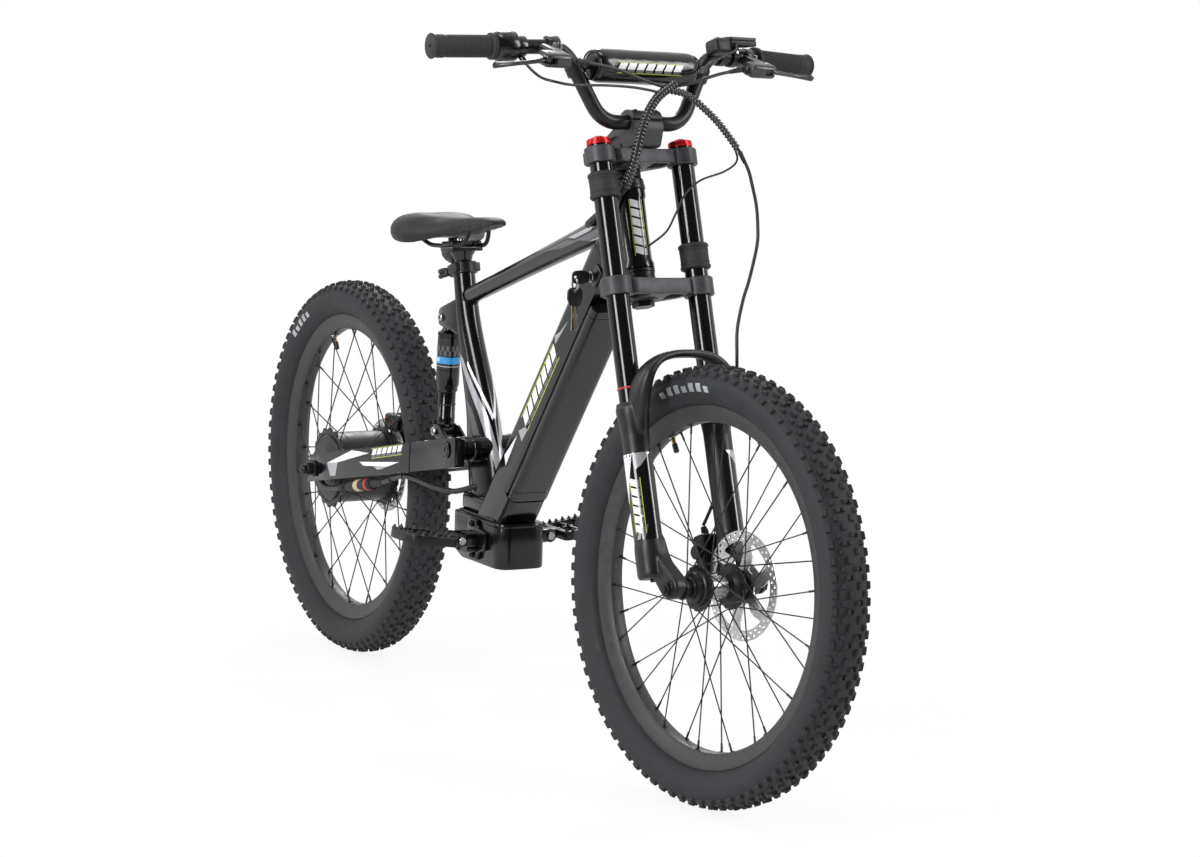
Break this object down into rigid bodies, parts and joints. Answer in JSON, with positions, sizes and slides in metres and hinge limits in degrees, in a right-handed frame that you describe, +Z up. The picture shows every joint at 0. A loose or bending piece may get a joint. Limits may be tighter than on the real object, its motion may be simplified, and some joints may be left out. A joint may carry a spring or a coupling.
{
  "type": "electric bicycle",
  "caption": "Electric off-road bicycle: double-crown fork, hub motor, battery in the down tube, low control box; wheels, steering, suspension, levers and battery move.",
  "frame": {"origin": "middle of the flat underside of the control box, on the bicycle's middle plane", "axes": "+X forward, +Y to the rider's left, +Z up"},
  "size_m": [1.8533, 0.6816, 1.0961],
  "materials": {
    "frame_paint": "gloss",
    "black_anodised": "satin",
    "grey_anodised": "satin",
    "red_anodised": "satin",
    "steel": "satin",
    "black_steel": "satin",
    "rim_alloy": "matte",
    "tyre_rubber": "matte",
    "rubber": "matte",
    "plastic": "matte",
    "battery_case": "gloss",
    "saddle_cover": "satin",
    "pad_cover": "satin",
    "cable_jacket": "satin"
  },
  "bodies": {
    "frame": {"main_frame": "frame_paint", "lower_headset_cup": "black_anodised", "upper_headset_cup": "black_anodised", "control_box": "frame_paint", "peg_bracket_right": "black_steel", "peg_bracket_left": "black_steel", "seat_collar": "black_anodised", "pivot_axle": "black_steel", "shock_can": "black_anodised"},
    "lock": {"battery_lock": "steel", "key": "steel"},
    "spare": {"spare_key": "steel"},
    "battery_pack": {"battery": "battery_case"},
    "seat": {"seat_post": "black_anodised", "saddle_rails": "steel", "saddle": "saddle_cover"},
    "seat_clamp_lever": {"seat_lever": "black_anodised"},
    "rear_arm": {"swingarm": "frame_paint", "rear_axle": "black_steel", "rear_caliper": "black_anodised", "motor_cable": "cable_jacket"},
    "rear_wheel": {"rear_tyre": "tyre_rubber", "rear_rim": "rim_alloy", "hub_motor": "black_anodised", "rear_rotor": "steel"},
    "shock_rod": {"shock_shaft": "black_anodised"},
    "steered": {"steerer": "black_steel", "upper_crown": "grey_anodised", "lower_crown": "grey_anodised", "stanchion_right": "black_anodised", "stanchion_left": "black_anodised", "fork_cap_right": "red_anodised", "fork_cap_left": "red_anodised", "bumper_right": "rubber", "bumper_left": "rubber", "stem": "black_anodised", "bar_clamp": "black_anodised", "handlebar": "black_anodised", "bar_pad": "pad_cover", "left_grip": "rubber", "throttle_housing": "plastic", "lever_perch_right": "black_anodised", "lever_perch_left": "black_anodised", "display": "plastic", "switch_pod": "plastic", "control_cables": "cable_jacket", "front_brake_hose": "cable_jacket"},
    "lowers": {"fork_lowers": "frame_paint", "front_axle": "black_steel", "front_caliper": "black_anodised"},
    "front_wheel": {"front_tyre": "tyre_rubber", "front_rim": "rim_alloy", "front_hub": "black_anodised", "front_rotor": "steel"},
    "throttle": {"throttle_grip": "rubber"},
    "right_lever": {"brake_lever_right": "black_anodised"},
    "left_lever": {"brake_lever_left": "black_anodised"},
    "button": {"mode_button": "rubber"},
    "right_peg": {"footpeg_right": "black_steel"},
    "left_peg": {"footpeg_left": "black_steel"}
  },
  "joints": [
    {"name": "steering", "type": "hinge", "parent": "frame", "child": "steered", "pos_m": [0.5912, 0, 0.04594], "axis": [-0.314, 0, 0.9494], "range_deg": [-53, 37], "deforming": ["control_cables"]},
    {"name": "fork_travel", "type": "slide", "parent": "steered", "child": "lowers", "axis": [-0.314, 0, 0.9494], "range_m": [0, 0.08], "stiffness_N_per_m": 6000, "springref_m": -0.005, "deforming": ["front_brake_hose"]},
    {"name": "front_wheel_spin", "type": "hinge", "parent": "lowers", "child": "front_wheel", "pos_m": [0.66919, 0.01191, 0.07173], "axis": [-0.1362, 0.9897, -0.0451], "continuous": true},
    {"name": "swingarm_travel", "type": "hinge", "parent": "frame", "child": "rear_arm", "pos_m": [-0.031, 0, 0.176], "axis": [0, 1, 0], "range_deg": [0, 9], "stiffness_Nm_per_rad": 3000, "springref_deg": -1.15, "deforming": ["motor_cable"]},
    {"name": "rear_wheel_spin", "type": "hinge", "parent": "rear_arm", "child": "rear_wheel", "pos_m": [-0.55, 0, 0.072], "axis": [0, 1, 0], "continuous": true},
    {"name": "shock_stroke", "type": "slide", "parent": "frame", "child": "shock_rod", "axis": [0.064, 0, 0.9979], "range_m": [0, 0.0275]},
    {"name": "seat_height", "type": "slide", "parent": "frame", "child": "seat", "axis": [-0.2476, 0, 0.9689], "range_m": [0, 0.1]},
    {"name": "seat_clamp", "type": "hinge", "parent": "frame", "child": "seat_clamp_lever", "pos_m": [-0.18072, -0.0186, 0.42794], "axis": [-0.2476, 0, 0.9689], "range_deg": [0, 120]},
    {"name": "battery_tip", "type": "hinge", "parent": "frame", "child": "battery_pack", "pos_m": [0.11331, 0, 0.10335], "axis": [0, 1, 0], "range_deg": [0, 9]},
    {"name": "lock_turn", "type": "hinge", "parent": "frame", "child": "lock", "pos_m": [0.36094, -0.033, 0.48664], "axis": [0, 1, 0], "range_deg": [0, 90]},
    {"name": "spare_key_swing", "type": "hinge", "parent": "lock", "child": "spare", "pos_m": [0.36094, -0.063, 0.485], "axis": [1, 0, 0], "range_deg": [-60, 20]},
    {"name": "throttle_twist", "type": "hinge", "parent": "steered", "child": "throttle", "pos_m": [0.41633, -0.23608, 0.82698], "axis": [0.0112, -0.9999, -0.0013], "range_deg": [0, 70], "stiffness_Nm_per_rad": 0.4, "springref_deg": -17.19},
    {"name": "right_lever_pull", "type": "hinge", "parent": "steered", "child": "right_lever", "pos_m": [0.48213, -0.17918, 0.81246], "axis": [-0.2365, -0.0767, -0.9686], "range_deg": [0, 22], "stiffness_Nm_per_rad": 1, "springref_deg": -8.59},
    {"name": "left_lever_pull", "type": "hinge", "parent": "steered", "child": "left_lever", "pos_m": [0.42845, 0.21074, 0.79471], "axis": [0.2365, 0.0767, 0.9686], "range_deg": [0, 22], "stiffness_Nm_per_rad": 1, "springref_deg": -8.59},
    {"name": "button_press", "type": "slide", "parent": "steered", "child": "button", "axis": [0.314, 0, -0.9494], "range_m": [0, 0.0015], "stiffness_N_per_m": 100, "springref_m": -0.002},
    {"name": "right_peg_fold", "type": "hinge", "parent": "frame", "child": "right_peg", "pos_m": [0.017, -0.078, 0.04], "axis": [-1, 0, 0], "range_deg": [0, 90], "stiffness_Nm_per_rad": 0.5, "springref_deg": -34.38},
    {"name": "left_peg_fold", "type": "hinge", "parent": "frame", "child": "left_peg", "pos_m": [0.017, 0.078, 0.04], "axis": [1, 0, 0], "range_deg": [0, 90], "stiffness_Nm_per_rad": 0.5, "springref_deg": -34.38}
  ],
  "couplings": [
    {"joint": "shock_stroke", "follows": "swingarm_travel", "m_per_rad": 0.1706}
  ]
}
